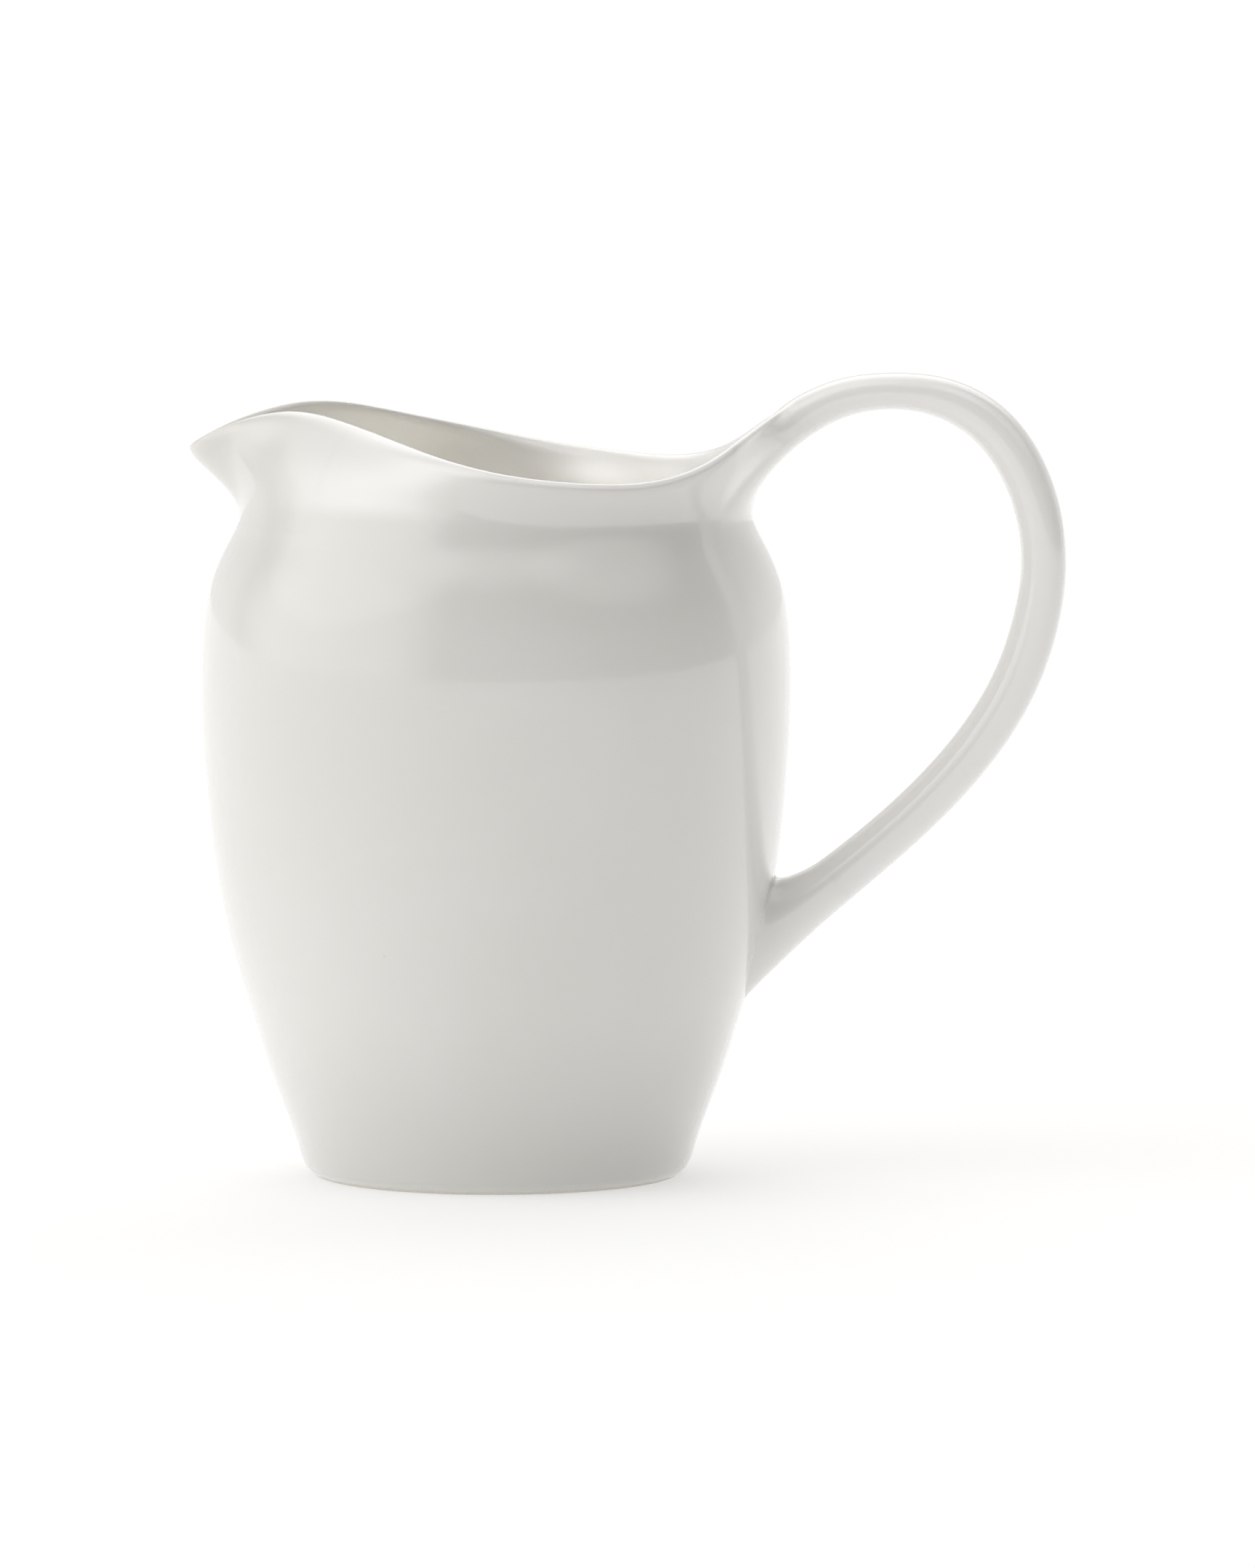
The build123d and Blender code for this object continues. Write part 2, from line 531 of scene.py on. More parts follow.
def handle_stations() -> list[tuple[float, float, float, float]]:
    """The handle's middle line and section, from the rim to the belly.

    Returns:
        X, Z, thickness and width across at each station.
    """
    return [
        (40.0, 122.4, 8.8, 22.0),
        (45.2, 127.3, 8.4, 15.6),
        (50.2, 131.6, 7.8, 11.8),
        (55.0, 135.0, 7.2, 10.2),
        (60.6, 137.6, 6.8, 9.8),
        (70.4, 139.0, 6.5, 9.8),
        (80.0, 137.4, 7.2, 9.8),
        (87.4, 132.8, 7.8, 9.8),
        (93.4, 124.0, 8.0, 9.8),
        (96.5, 110.0, 8.0, 9.8),
        (95.0, 98.0, 8.2, 9.8),
        (91.4, 87.7, 8.2, 9.8),
        (85.2, 77.4, 8.2, 9.8),
        (76.2, 67.0, 8.2, 9.8),
        (68.0, 59.4, 8.3, 9.8),
        (60.2, 52.9, 8.7, 10.4),
        (54.4, 48.2, 9.5, 12.0),
        (48.5, 43.1, 10.6, 14.6),
        (42.6, 38.0, 12.4, 16.4),
    ]


@dataclass
class HandleForm:
    """The cast loop: a soft oval section carried along a spline."""

    stations: list[tuple[float, float, float, float]] = field(default_factory=handle_stations)
    upper_station: int = 3
    lower_station: int = 15
    around: int = 128
    rows: int = 170
    fullness: float = 2.3
    top_fullness: float = 0.25

    def __post_init__(self) -> None:
        """Fit the middle line and the section by distance along the stations."""
        rows = np.array(self.stations)
        steps = np.hypot(np.diff(rows[:, 0]), np.diff(rows[:, 1]))
        self.knots = np.concatenate([[0.0], np.cumsum(steps)])
        self.line = Curve(self.knots, rows)

    def ring(self, at: Array, turned: Array | None = None) -> tuple[Array, Array]:
        """Sections of the handle, from the middle of the finger side round through +Y.

        Args:
            at: Distances along the handle.
            turned: Degrees round the section of its around + 1 points, evenly spaced if left out.

        Returns:
            The sections, one for each distance by around + 1 points by 3, and the directions.
        """
        if turned is None:
            turned = np.linspace(0.0, 360.0, self.around + 1)
        x, z, thick, wide = np.moveaxis(self.line(at), -1, 0)
        slope = self.line(at, 1)
        ahead = unit(np.stack([slope[..., 0], 0.0 * x, slope[..., 1]], -1))
        out = np.stack([-ahead[..., 2], 0.0 * x, ahead[..., 0]], -1)
        turn = math.pi - np.radians(turned)
        power = self.fullness + self.top_fullness * np.cos(turn)
        rounded = (np.abs(np.cos(turn)) ** power + np.abs(np.sin(turn)) ** power) ** (-1.0 / power)
        up_part = (rounded * np.cos(turn))[None, :, None] * (thick / 2.0)[:, None, None]
        side_part = (rounded * np.sin(turn))[None, :] * (wide / 2.0)[:, None]
        centre = np.stack([x, 0.0 * x, z], -1)[:, None]
        rings = centre + up_part * out[:, None]
        rings[..., 1] += side_part
        rings[:, -1] = rings[:, 0]
        return rings, ahead


def loft(start: Array, start_pull: Array, end: Array, end_pull: Array, rows: int) -> Array:
    """A smooth skin between two rings.

    Args:
        start: Points of the first ring.
        start_pull: How the skin leaves each of its points.
        end: Points of the second ring.
        end_pull: How the skin arrives at each of its points.
        rows: Rows of quads.

    Returns:
        rows + 1 by points by 3.
    """
    u = np.linspace(0.0, 1.0, rows + 1)[:, None, None]
    return (
        (2 * u**3 - 3 * u**2 + 1) * start
        + (u**3 - 2 * u**2 + u) * start_pull
        + (3 * u**2 - 2 * u**3) * end
        + (u**3 - u**2) * end_pull
    )


# ---- shading ----


class Value:
    """A number socket of a node tree, with arithmetic that adds Math nodes."""

    def __init__(self, sheet: NodeSheet, socket: Socket) -> None:
        """Wrap a socket of a sheet."""
        self.sheet = sheet
        self.socket = socket

    def math(self, operation: str, first: Value | float, second: Value | float) -> Value:
        """Add a Math node.

        Args:
            operation: The node's operation.
            first: Its first input.
            second: Its second input.

        Returns:
            The node's output.
        """
        node = self.sheet.node("ShaderNodeMath", {"operation": operation}, {0: first, 1: second})
        return Value(self.sheet, node.outputs[0])

    def __add__(self, other: Value | float) -> Value:
        """Sum."""
        return self.math("ADD", self, other)

    def __sub__(self, other: Value | float) -> Value:
        """Difference."""
        return self.math("SUBTRACT", self, other)

    def __rsub__(self, other: float) -> Value:
        """Difference from a number."""
        return self.math("SUBTRACT", other, self)

    def __mul__(self, other: Value | float) -> Value:
        """Product."""
        return self.math("MULTIPLY", self, other)

    __radd__ = __add__
    __rmul__ = __mul__

    def ramp(self, low: float, high: float) -> Value:
        """Rise smoothly from 0 to 1, or fall where low is above high.

        Args:
            low: Where it is 0.
            high: Where it is 1.

        Returns:
            The share.
        """
        settings = {"interpolation_type": "SMOOTHSTEP"}
        node = self.sheet.node("ShaderNodeMapRange", settings, {0: self, 1: low, 2: high})
        return Value(self.sheet, node.outputs[0])


@dataclass
class NodeSheet:
    """A node tree under construction."""

    tree: bpy.types.NodeTree

    def node(
        self, kind: str, settings: dict | None = None, inputs: dict | None = None
    ) -> bpy.types.Node:
        """Add a node.

        Args:
            kind: The node's type.
            settings: Its settings by name, set first.
            inputs: Values, sockets or wrapped values by the name or number of its sockets.

        Returns:
            The node.
        """
        made = self.tree.nodes.new(kind)
        for name, setting in (settings or {}).items():
            setattr(made, name, setting)
        for name, given in (inputs or {}).items():
            source = given.socket if isinstance(given, Value) else given
            if isinstance(source, Socket):
                self.tree.links.new(source, made.inputs[name])
            else:
                made.inputs[name].default_value = source
        return made

    def noise(self, where: Socket, scale: float, detail: float, twist: float = 0.0) -> Value:
        """Add a noise pattern.

        Args:
            where: The place that it follows.
            scale: How many features it has in a metre.
            detail: How many finer layers lie on it.
            twist: How far it is warped.

        Returns:
            The pattern, from 0 to 1.
        """
        inputs = {"Vector": where, "Scale": scale, "Detail": detail, "Distortion": twist}
        return Value(self, self.node("ShaderNodeTexNoise", {}, inputs).outputs[0])

    def axes(self, vector: Socket) -> list[Value]:
        """The three numbers of a vector, along X, Y and Z."""
        made = self.node("ShaderNodeSeparateXYZ", {}, {0: vector})
        return [Value(self, output) for output in made.outputs]

    def blend(self, share: Value, low: Colour | Socket, high: Colour | Socket) -> Socket:
        """Mix two colours.

        Args:
            share: How much of the second one there is.
            low: The first colour.
            high: The second colour.

        Returns:
            The mixed colour.
        """
        ends = [end if isinstance(end, Socket) else (*end, 1.0) for end in (low, high)]
        made = self.node("ShaderNodeMix", {"data_type": "RGBA"}, {0: share, 6: ends[0], 7: ends[1]})
        return made.outputs[2]

    def bump(self, strength: float, distance: float, relief: Value) -> Socket:
        """Add a bump.

        Args:
            strength: How much of it shows.
            distance: The height of the relief, in metres.
            relief: Its pattern.

        Returns:
            The bumped normal.
        """
        inputs = {"Strength": strength, "Distance": distance, "Height": relief}
        return self.node("ShaderNodeBump", {}, inputs).outputs[0]

    def shader(self, inputs: dict) -> None:
        """Add the surface shader, with values by the names of its sockets, and the tree's output."""
        made = self.node("ShaderNodeBsdfPrincipled", {}, inputs)
        self.node("ShaderNodeOutputMaterial", {}, {0: made.outputs[0]})


def surface_sheet(name: str) -> tuple[bpy.types.Material, NodeSheet, Socket]:
    """Start a material.

    Args:
        name: Its name.

    Returns:
        The material, its sheet, and the place on the object that its patterns follow.
    """
    material = bpy.data.materials.new(name)
    material.use_nodes = True
    material.node_tree.nodes.clear()
    sheet = NodeSheet(material.node_tree)
    where = sheet.node("ShaderNodeTexCoord").outputs["Object"]
    return material, sheet, where


@dataclass(frozen=True)
class Glaze:
    """A clear gloss glaze over white porcelain, as it comes out of the kiln."""

    colour: Colour = (0.77, 0.758, 0.733)
    shaded: Colour = (0.748, 0.736, 0.705)
    cloud_scale: float = 24.0
    cloud_detail: float = 3.0
    cloud_twist: float = 0.6
    cloud_edges: tuple[float, float] = (0.25, 0.75)
    # Painted shade: a darker grey laid on towards the foot, where the lower body turns down away from
    # the light.
    foot_shade_colour: Colour = (0.57, 0.565, 0.535)
    foot_shade_top: float = 0.034
    foot_shade_share: float = 0.55
    # Painted light: a whiter colour laid on as a painted highlight along the rim's crest and as painted
    # light over the handle.
    painted_light_colour: Colour = (0.90, 0.89, 0.875)
    handle_light_start: tuple[float, float] = (0.034, 0.060)
    handle_light_share: float = 0.75
    # Painted highlight on the rim: how far the crest must face upward, where it starts in height, and
    # where it fades out towards the spout.
    rim_highlight_tilt: float = 0.4
    rim_highlight_start: tuple[float, float] = (0.118, 0.122)
    rim_highlight_spout_fade: tuple[float, float] = (-0.042, -0.018)
    speck: Colour = (0.56, 0.52, 0.45)
    speck_scale: float = 130.0
    speck_edges: tuple[float, float] = (0.045, 0.02)
    speck_chance: tuple[float, float] = (0.93, 0.97)
    speck_share: float = 0.35
    grain_scale: float = 900.0
    grain_share: float = 0.05
    cloud_share: float = 0.04
    wave_scale: float = 38.0
    wave: float = 0.00022
    ripple_scale: float = 420.0
    ripple: float = 0.00003
    refraction: float = 1.5
    scatter: float = 0.1
    scatter_reach: tuple[float, float, float] = (0.0012, 0.001, 0.0008)

    def paint(self, sheet: NodeSheet, where: Socket, cloud: Value) -> Socket:
        """Lay out the colour: cloudy, with painted shade that greys it near the foot, a painted
        highlight on the rim and painted light on the handle.

        Args:
            sheet: The sheet of the material.
            where: The place on the object.
            cloud: The pattern that shades the colour.

        Returns:
            The colour.
        """
        along, _, height = sheet.axes(where)
        facing = sheet.node("ShaderNodeNewGeometry").outputs["Normal"]
        # Painted highlight: the upward-facing crest of the rim is turned whiter, fading out towards the
        # spout.
        rim_highlight = sheet.axes(facing)[2].ramp(0.0, self.rim_highlight_tilt) * height.ramp(*self.rim_highlight_start)
        rim_highlight = rim_highlight * along.ramp(*self.rim_highlight_spout_fade)
        body = sheet.blend(cloud.ramp(*self.cloud_edges), self.colour, self.shaded)
        # Painted shade: darker towards the foot.
        body = sheet.blend(height.ramp(self.foot_shade_top, 0.0) * self.foot_shade_share, body, self.foot_shade_colour)
        # Painted light: the handle side, past about X 34 mm, is turned whiter.
        body = sheet.blend(along.ramp(*self.handle_light_start) * self.handle_light_share, body, self.painted_light_colour)
        # Painted highlight along the rim's crest.
        body = sheet.blend(rim_highlight, body, self.painted_light_colour)
        return sheet.blend(self.specks(sheet, where), body, self.speck)

    def specks(self, sheet: NodeSheet, where: Socket) -> Value:
        """Scatter a few pale iron specks.

        Args:
            sheet: The sheet of the material.
            where: The place on the object.

        Returns:
            How much of the speck's colour shows.
        """
        inputs = {"Vector": where, "Scale": self.speck_scale, "Randomness": 1.0}
        spots = sheet.node("ShaderNodeTexVoronoi", {}, inputs)
        speck = Value(sheet, spots.outputs["Distance"]).ramp(*self.speck_edges)
        drawn = sheet.node("ShaderNodeSeparateColor", {}, {0: spots.outputs["Color"]})
        chosen = Value(sheet, drawn.outputs[0]).ramp(*self.speck_chance)
        return speck * chosen * self.speck_share

    def material(self, name: str) -> bpy.types.Material:
        """Make the finish.

        Args:
            name: The name of the material.

        Returns:
            The material.
        """
        material, sheet, where = surface_sheet(name)
        cloud = sheet.noise(where, self.cloud_scale, self.cloud_detail, self.cloud_twist)
        grain = sheet.noise(where, self.grain_scale, 2.0)
        relief = sheet.noise(where, self.wave_scale, 1.0) * (self.wave / self.ripple)
        relief = relief + sheet.noise(where, self.ripple_scale, 2.0)
        rough = GLAZE_ROUGHNESS + (grain - 0.5) * self.grain_share + (cloud - 0.5) * self.cloud_share
        inputs = {
            "Base Color": self.paint(sheet, where, cloud),
            "Roughness": rough,
            "IOR": self.refraction,
            "Coat Weight": 1.0,
            "Subsurface Weight": self.scatter,
            "Subsurface Radius": self.scatter_reach,
            "Subsurface Scale": 1.0,
            "Normal": sheet.bump(1.0, self.ripple, relief),
        }
        sheet.shader(inputs | COAT)
        return material


@dataclass(frozen=True)
class BareClay:
    """The wiped foot: glazed down its outside, with bare ground porcelain where it stands."""

    glazed: Colour = (0.645, 0.637, 0.607)
    bare: Colour = (0.70, 0.675, 0.625)
    stain: float = 0.9
    stain_edges: tuple[float, float] = (0.3, 0.7)
    glaze_line: float = 0.0007
    line_blur: float = 0.0001
    line_wander: float = 0.0005
    line_scale: float = 160.0
    grain_scale: float = 2600.0
    grain_depth: float = 0.00004
    grain_strength: float = 0.6
    bare_roughness: float = 0.55

    def material(self, name: str) -> bpy.types.Material:
        """Make the finish.

        Args:
            name: The name of the material.

        Returns:
            The material.
        """
        material, sheet, where = surface_sheet(name)
        edge = sheet.noise(where, self.line_scale, 3.0)
        grain = sheet.noise(where, self.grain_scale, 4.0)
        line = sheet.axes(where)[2] + (edge - 0.5) * self.line_wander
        bare = line.ramp(self.glaze_line + self.line_blur, self.glaze_line - self.line_blur)
        stain = tuple(self.stain * part for part in self.bare)
        stained = sheet.blend(grain.ramp(*self.stain_edges), self.bare, stain)
        inputs = {
            "Base Color": sheet.blend(bare, self.glazed, stained),
            "Roughness": GLAZE_ROUGHNESS + bare * self.bare_roughness,
            "Coat Weight": 1.0 - bare,
            "Normal": sheet.bump(self.grain_strength, self.grain_depth, grain * bare),
        }
        sheet.shader(inputs | COAT)
        return material


# ---- the pieces ----


class Slot(Enum):
    """The record's material slots."""

    BODY = "glazed_body"
    SPOUT = "glazed_spout"
    HANDLE = "glazed_handle"
    JOINTS = "glazed_joints"
    FOOT = "bare_foot"


def finish_piece(piece: bpy.types.Object, node: str, material: bpy.types.Material) -> None:
    """Give a piece its finish and its place in the model.

    Args:
        piece: The piece.
        node: The design node that it stands for.
        material: Its finish.
    """
    piece.data.materials.append(material)
    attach(piece, "root")
    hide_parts(node)
    log.info("%s: %d faces", piece.name, len(piece.data.polygons))


@dataclass
class CastWall:
    """The pieces of the cast wall: the body, its spout and its foot ring."""

    form: BodyForm = field(default_factory=BodyForm)
    foot_outer: float = 31.2
    foot_inner: float = 26.6
    foot_bevel: float = 0.7
    foot_steps: int = 6
    heel_slopes: tuple[float, float] = (13.0, 60.0)
    heel_steps: int = 9
    under_shares: tuple[float, ...] = (1.0, 0.92, 0.785, 0.6, 0.4, 0.2, 0.08, 0.0)

    def __post_init__(self) -> None:
        """Lay out the skin once, so that neighbours share their seams."""
        form = self.form
        self.points, self.normals, self.seam = form.skin()
        self.band_rows = 2 * form.upper_rows + form.crest_rows + 1
        self.inner_seam = self.seam + self.band_rows - 1
        self.band = self.points[self.seam : self.inner_seam + 1]
        self.band_normals = self.normals[self.seam : self.inner_seam + 1]
        self.root_end = form.root_columns
        self.spout_start = self.root_end + form.flank_columns
        self.spout_end = self.spout_start + form.spout_columns
        self.last = self.spout_end + form.flank_columns

    def add_band(self, mesh: ClayMesh, start: int, end: int) -> None:
        """Add a stretch of the wall above the seams, with both of its cut ends.

        Args:
            mesh: The mesh that takes it.
            start: Its first column.
            end: Its last column.
        """
        mesh.add(self.band[:, start : end + 1], self.band_normals[:, start : end + 1])
        self.add_cut(mesh, start, True)
        self.add_cut(mesh, end, False)

    def add_cut(self, mesh: ClayMesh, column: int, flip: bool) -> None:
        """Add the cut through the wall at a column."""
        mesh.add(ladder(self.band, column), None, flip)

    def add_seam(self, mesh: ClayMesh, start: int, end: int, flip: bool) -> None:
        """Add the level seam through the wall between two columns."""
        mesh.add(self.band[[0, -1], start : end + 1], None, flip)

    def body(self) -> bpy.types.Object:
        """Build the body, from its underside to the rim between the spout and the handle.

        Returns:
            The body.
        """
        mesh = ClayMesh()
        under = self.points[0] * np.array(self.under_shares)[:, None, None]
        under[..., 2] = self.form.foot_top
        mesh.add(under, None, True)
        mesh.add(self.points[: self.seam + 1], self.normals[: self.seam + 1])
        mesh.add(self.points[self.inner_seam :], self.normals[self.inner_seam :])
        self.add_band(mesh, self.root_end, self.spout_start)
        self.add_band(mesh, self.spout_end, self.last)
        self.add_seam(mesh, 0, self.root_end, False)
        self.add_seam(mesh, self.spout_start, self.spout_end, False)
        return mesh.build("pitcher_body")

    def spout(self) -> bpy.types.Object:
        """Build the pinched spout.

        Returns:
            The spout.
        """
        mesh = ClayMesh()
        self.add_band(mesh, self.spout_start, self.spout_end)
        self.add_seam(mesh, self.spout_start, self.spout_end, True)
        return mesh.build("pitcher_spout")

    def foot_ring(self) -> bpy.types.Object:
        """Build the ring that the pitcher stands on.

        Returns:
            The ring.
        """
        form, low, high = self.form, *np.radians(self.heel_slopes)
        heel_radius = float(form.profile(form.foot_top))
        span = math.hypot(heel_radius - self.foot_outer, form.foot_top)
        bend = span / (2.0 * math.sin((high - low) / 2.0))
        turn = np.linspace(low, high, self.heel_steps)
        centre = (self.foot_outer - bend * math.sin(low), bend * math.cos(low))
        heel = np.stack([centre[0] + bend * np.sin(turn), centre[1] - bend * np.cos(turn)], -1)
        heel[-1] = heel_radius, form.foot_top
        turn = np.linspace(math.pi, 1.5 * math.pi, self.foot_steps)
        middle = np.array([self.foot_inner + self.foot_bevel, self.foot_bevel])
        inner = middle + self.foot_bevel * np.stack([np.cos(turn), np.sin(turn)], -1)
        reach = np.linspace(inner[-1, 0], heel[0, 0], self.foot_steps)
        flat = np.stack([reach, 0.0 * reach], -1)[1:-1]
        outline = np.concatenate([[[self.foot_inner, form.foot_top]], inner, flat, heel])
        turn = np.radians(form.angles)
        circle = np.stack([np.cos(turn), np.sin(turn)], -1)
        level = outline[:, None, :1] * circle
        height = np.broadcast_to(outline[:, None, 1:], (len(outline), len(turn), 1))
        wall = np.concatenate([level, height], -1)
        mesh = ClayMesh()
        mesh.add(wall, grid_normals(wall, closed=True))
        mesh.add(wall[[-1, 0]], None)
        return mesh.build("pitcher_foot_ring")


@dataclass
class Handle:
    """The loop handle and the slip joints that hold its two ends."""

    wall: CastWall
    form: HandleForm = field(default_factory=HandleForm)
    root_rows: int = 34
    root_turns: tuple[float, ...] = (0.0, 55.0, 128.0, 156.0, 180.0)
    root_leave: float = 0.85
    root_arrive: float = 0.88
    foot_rows: int = 26
    foot_leave: float = 0.9
    foot_arrive: float = 5.5
    foot_centre: float = 43.0
    foot_above: float = 10.6
    foot_below: float = 11.4
    foot_half_width: float = 7.6
    crease: float = 18.0
    cap_rings: int = 8
    probe: float = 0.3

    def ends(self) -> tuple[float, float]:
        """Distances along the handle of its two ends."""
        return self.form.knots[self.form.upper_station], self.form.knots[self.form.lower_station]

    def ring_with_normals(self, at: float, turned: Array | None = None) -> tuple[Array, Array, Array]:
        """One section of the handle.

        Args:
            at: Its distance along the handle.
            turned: Degrees round it of its points, evenly spaced if left out.

        Returns:
            Its points, its normals and the direction of the handle there.
        """
        rings, ahead = self.form.ring(np.array([at - self.probe, at, at + self.probe]), turned)
        return rings[1], grid_normals(rings, closed=True)[1], ahead[1]

    def loop(self) -> bpy.types.Object:
        """Build the loop.

        Returns:
            The loop.
        """
        upper, lower = self.ends()
        rings, _ = self.form.ring(np.linspace(upper, lower, self.form.rows + 1))
        normals = grid_normals(rings, closed=True)
        normals[0] = self.ring_with_normals(upper)[1]
        normals[-1] = self.ring_with_normals(lower)[1]
        mesh = ClayMesh()
        mesh.add(rings, normals)
        mesh.add_fan(rings[0], rings[0, :-1].mean(axis=0), True)
        mesh.add_fan(rings[-1], rings[-1, :-1].mean(axis=0))
        return mesh.build("pitcher_handle")

    def upper_joint(self) -> bpy.types.Object:
        """Build the root of the handle, drawn out of the rim.

        Returns:
            The upper joint.
        """
        wall, crest_end = self.wall, self.wall.form.upper_rows + self.wall.form.crest_rows
        middle, last = wall.root_end // 2, wall.root_end

        def around(grid: Array) -> Array:
            """Read a grid of the wall round the edge of the root.

            Args:
                grid: The points or the normals of the wall above the seams.

            Returns:
                A ring that starts and ends at the middle of the seam.
            """
            seam_out, seam_back = grid[0, middle:last], grid[0, : middle + 1]
            side_up, side_down = grid[:crest_end, last], grid[crest_end:0:-1, 0]
            return np.concatenate([seam_out, side_up, grid[crest_end, last:0:-1], side_down, seam_back])

        start, normals = around(wall.band), around(wall.band_normals)
        counts = (middle, wall.form.upper_rows, wall.form.crest_rows, middle)
        half = np.interp(np.arange(sum(counts) + 1), np.cumsum((0, *counts)), self.root_turns)
        turned = np.concatenate([half, 360.0 - half[-2::-1]])
        end, end_normals, ahead = self.ring_with_normals(self.ends()[0], turned)
        gap = end - start
        length = np.linalg.norm(gap, axis=-1, keepdims=True)
        leave = unit(gap - (gap * normals).sum(-1, keepdims=True) * normals) * length
        arrive = ahead * length * self.root_arrive
        skin = loft(start, leave * self.root_leave, end, arrive, self.root_rows)
        skin_normals = grid_normals(skin, closed=True)
        skin_normals[0], skin_normals[-1] = normals, end_normals
        mesh = ClayMesh()
        mesh.add(skin, skin_normals)
        mesh.add_fan(end, end[:-1].mean(axis=0))
        mesh.add(wall.band[crest_end:, : last + 1], wall.band_normals[crest_end:, : last + 1])
        wall.add_cut(mesh, 0, True)
        wall.add_cut(mesh, last, False)
        wall.add_seam(mesh, 0, last, True)
        return mesh.build("pitcher_upper_joint")

    def on_belly(self, share: Array) -> Array:
        """The joint's outline on the belly, shrunk about its middle.

        Args:
            share: The sizes of the rings, with 1 for the whole outline.

        Returns:
            One ring of points for each share.
        """
        turn = np.linspace(0.0, 2.0 * math.pi, self.form.around + 1)
        tall = np.where(np.cos(turn) > 0, self.foot_above, self.foot_below)
        y = share[:, None] * self.foot_half_width * np.sin(turn)
        z = self.foot_centre + share[:, None] * tall * np.cos(turn)
        y[:, -1], z[:, -1] = y[:, 0], z[:, 0]
        x = np.sqrt(self.wall.form.profile(z) ** 2 - y**2)
        return np.stack([x, y, z], -1)

    def lower_joint(self) -> bpy.types.Object:
        """Build the joint where the handle comes down on the belly.

        Returns:
            The lower joint.
        """
        start, start_normals, ahead = self.ring_with_normals(self.ends()[1])
        cap = self.on_belly(np.linspace(1.0, 0.0, self.cap_rings + 1))
        end, centre = cap[0], cap[-1, 0]
        slope = self.wall.form.profile(end[:, 2], 1)
        radius = np.linalg.norm(end[:, :2], axis=-1)
        normals = unit(np.stack([end[:, 0] / radius, end[:, 1] / radius, -slope], -1))
        away = end - centre
        outward = unit(away - (away * normals).sum(-1, keepdims=True) * normals)
        tilt = math.radians(self.crease)
        arrive = outward * math.cos(tilt) - normals * math.sin(tilt)
        length = np.linalg.norm(end - start, axis=-1, keepdims=True)
        leave = ahead * length * self.foot_leave
        skin = loft(start, leave, end, arrive * self.foot_arrive, self.foot_rows)
        skin_normals = grid_normals(skin, closed=True)
        skin_normals[0] = start_normals
        mesh = ClayMesh()
        mesh.add(skin, skin_normals)
        mesh.add_fan(start, start[:-1].mean(axis=0), True)
        mesh.add(cap, None)
        return mesh.build("pitcher_lower_joint")


# ---- the studio ----


@dataclass(frozen=True)
class SoftGlow:
    """A large soft light, far from the pitcher, that fades out round its edge."""

    azimuth: float
    elevation: float
    inner: float
    outer: float
    strength: float

    def seen_along(self, sheet: NodeSheet, toward: Socket) -> Value:
        """Its brightness in a direction.

        Args:
            sheet: The room's node tree.
            toward: The direction.

        Returns:
            The brightness.
        """
        inputs = {0: toward, 1: direction(self.azimuth, self.elevation)}
        dot = sheet.node("ShaderNodeVectorMath", {"operation": "DOT_PRODUCT"}, inputs)
        edge, core = math.cos(math.radians(self.outer)), math.cos(math.radians(self.inner))
        return Value(sheet, dot.outputs["Value"]).ramp(edge, core) * self.strength


@dataclass(frozen=True)
class MouthLight:
    """A narrow lamp straight above the mouth, which lights the inside of the wall."""

    name: str
    middle: float
    size: tuple[float, float]
    power: float
    height: float = 0.36
    spread: float = 1.5

    def build(self) -> None:
        """Hang the light."""
        lamp = bpy.data.lights.new(self.name, "AREA")
        lamp.shape = "ELLIPSE"
        lamp.size, lamp.size_y = self.size
        lamp.spread = math.radians(self.spread)
        lamp.energy = self.power
        made = bpy.data.objects.new(self.name, lamp)
        made.location = (self.middle, 0.0, self.height)
        bpy.context.scene.collection.objects.link(made)


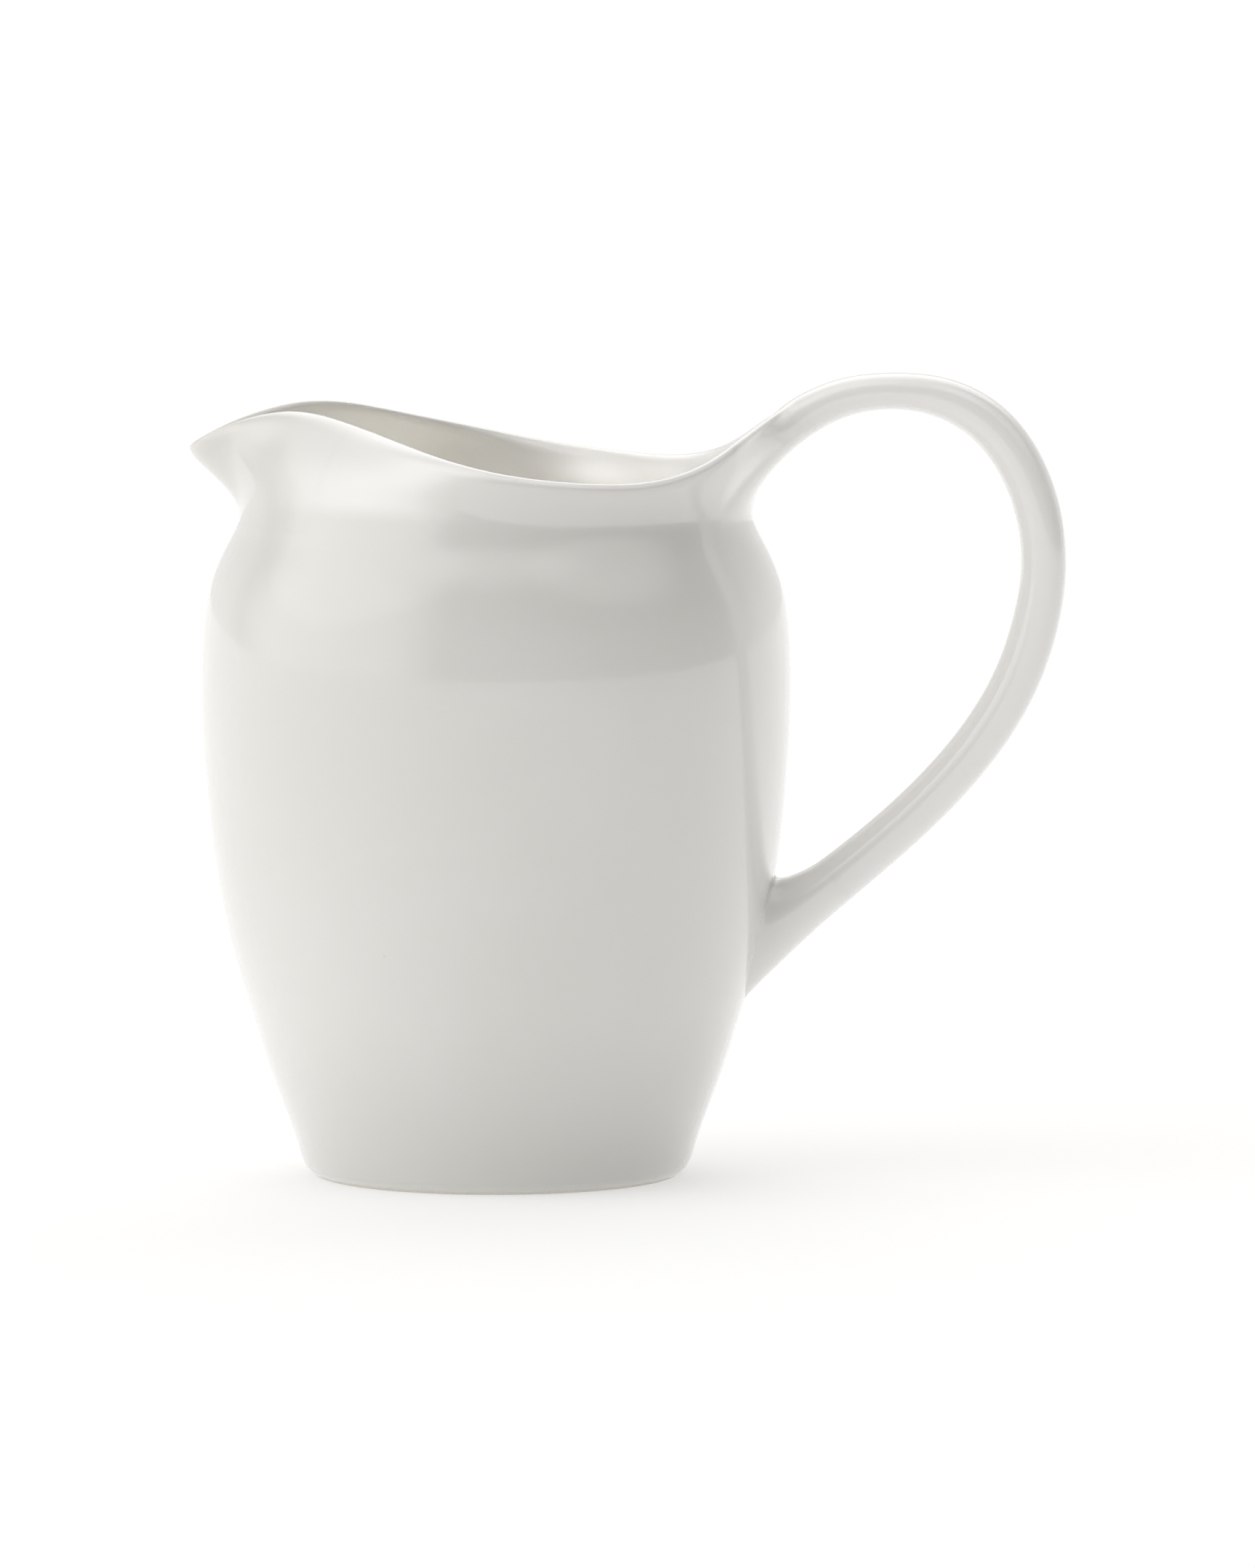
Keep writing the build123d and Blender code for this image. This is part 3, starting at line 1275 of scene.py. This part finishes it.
@dataclass
class Studio:
    """A plain white sweep with soft light from the left and a dim side behind the camera."""

    floor_rings: tuple[float, ...] = (0.0, 0.05, 0.15, 0.4, 1.0, 2.5, 5.0, 9.0)
    floor_sides: int = 96
    floor_colour: Colour = (0.62, 0.62, 0.62)
    floor_roughness: float = 0.9
    floor_glow: float = 0.42
    tint: Colour = (1.0, 0.99, 0.97)
    gloom: float = 0.085
    horizon: float = 0.19
    horizon_top: float = 0.4
    glows: tuple[SoftGlow, ...] = (
        SoftGlow(-66.0, 12.0, 24.0, 54.0, 1.05),
        SoftGlow(-70.0, 46.0, 32.0, 42.0, 0.42),
        SoftGlow(180.0, 5.0, 45.0, 80.0, 0.6),
        SoftGlow(180.0, 50.0, 15.0, 40.0, 0.9),
        SoftGlow(0.0, 74.0, 15.0, 40.0, 0.85),
        SoftGlow(65.0, 50.0, 12.0, 34.0, 0.6),
    )
    mouth_lights: tuple[MouthLight, ...] = (
        MouthLight("bowl_light", 0.007, (0.056, 0.080), 0.05),
        MouthLight("spout_light", -0.027, (0.022, 0.0245), 0.0125),
    )

    def build(self) -> None:
        """Lay the floor and light the room."""
        self.floor()
        self.room()
        for light in self.mouth_lights:
            light.build()

    def floor(self) -> None:
        """Lay a wide round floor."""
        turn = np.linspace(0.0, 2.0 * math.pi, self.floor_sides + 1)
        rings = np.array(self.floor_rings) / MM
        circle = np.stack([np.cos(turn), np.sin(turn), 0.0 * turn], -1)
        mesh = ClayMesh()
        mesh.add(rings[:, None, None] * circle, None, True)
        floor = mesh.build("studio_floor")
        material, sheet, _ = surface_sheet("studio_white")
        inputs = {
            "Base Color": (*self.floor_colour, 1.0),
            "Roughness": self.floor_roughness,
            "Emission Color": WHITE,
            "Emission Strength": self.floor_glow,
        }
        sheet.shader(inputs)
        floor.data.materials.append(material)

    def room(self) -> None:
        """Set the light of the room: bright behind and to the left, dim in front."""
        world = bpy.data.worlds.new("studio_room")
        world.use_nodes = True
        world.node_tree.nodes.clear()
        sheet = NodeSheet(world.node_tree)
        toward = sheet.node("ShaderNodeTexCoord").outputs["Generated"]
        glow = self.gloom + self.horizon * sheet.axes(toward)[2].ramp(self.horizon_top, 0.0)
        for light in self.glows:
            glow = glow + light.seen_along(sheet, toward)
        seen = sheet.node("ShaderNodeLightPath").outputs["Is Camera Ray"]
        plain = sheet.node("ShaderNodeBackground", {}, {0: WHITE, 1: 1.0}).outputs[0]
        lit = sheet.node("ShaderNodeBackground", {}, {0: (*self.tint, 1.0), 1: glow}).outputs[0]
        mixed = sheet.node("ShaderNodeMixShader", {}, {0: seen, 1: lit, 2: plain})
        sheet.node("ShaderNodeOutputWorld", {}, {0: mixed.outputs[0]})
        bpy.context.scene.world = world


@dataclass
class Camera:
    """A long lens a little above the rim's level, a few degrees towards the handle."""

    azimuth: float = 4.72
    elevation: float = 5.22
    distance: float = 2.5
    target: tuple[float, float, float] = (0.0232, 0.0, 0.0694)
    lens: float = 325.6
    sensor: float = 36.0
    near: float = 0.05
    far: float = 40.0

    def build(self) -> None:
        """Place the camera."""
        back = Vector(direction(self.azimuth, self.elevation))
        data = bpy.data.cameras.new("camera")
        data.lens = self.lens
        data.sensor_width = self.sensor
        data.clip_start = self.near
        data.clip_end = self.far
        camera = bpy.data.objects.new("camera", data)
        camera.location = Vector(self.target) + back * self.distance
        camera.rotation_euler = (-back).to_track_quat("-Z", "Y").to_euler()
        bpy.context.scene.collection.objects.link(camera)
        bpy.context.scene.camera = camera


def corners(box: tuple[Vector, Vector]) -> list[list[float]]:
    """A box as plain lists of numbers."""
    return [list(corner) for corner in box]


def main() -> None:
    """Build the pitcher, its studio and its camera."""
    logging.basicConfig(level=logging.INFO, format="%(name)s: %(message)s")
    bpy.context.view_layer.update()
    glaze = Glaze()
    wall = CastWall()
    handle = Handle(wall)
    finish_piece(wall.body(), "body_shell", glaze.material("glaze_on_body"))
    finish_piece(wall.spout(), "pouring_spout", glaze.material("glaze_on_spout"))
    finish_piece(wall.foot_ring(), "foot_ring", BareClay().material("wiped_foot"))
    finish_piece(handle.loop(), "handle", glaze.material("glaze_on_handle"))
    joints = glaze.material("glaze_on_joints")
    finish_piece(handle.upper_joint(), "upper_handle_joint", joints)
    finish_piece(handle.lower_joint(), "lower_handle_joint", joints)
    Studio().build()
    Camera().build()
    bpy.context.scene.view_settings.view_transform = "Standard"
    bpy.context.scene.cycles.diffuse_bounces = DIFFUSE_BOUNCES


if __name__ == "__main__":
    main()
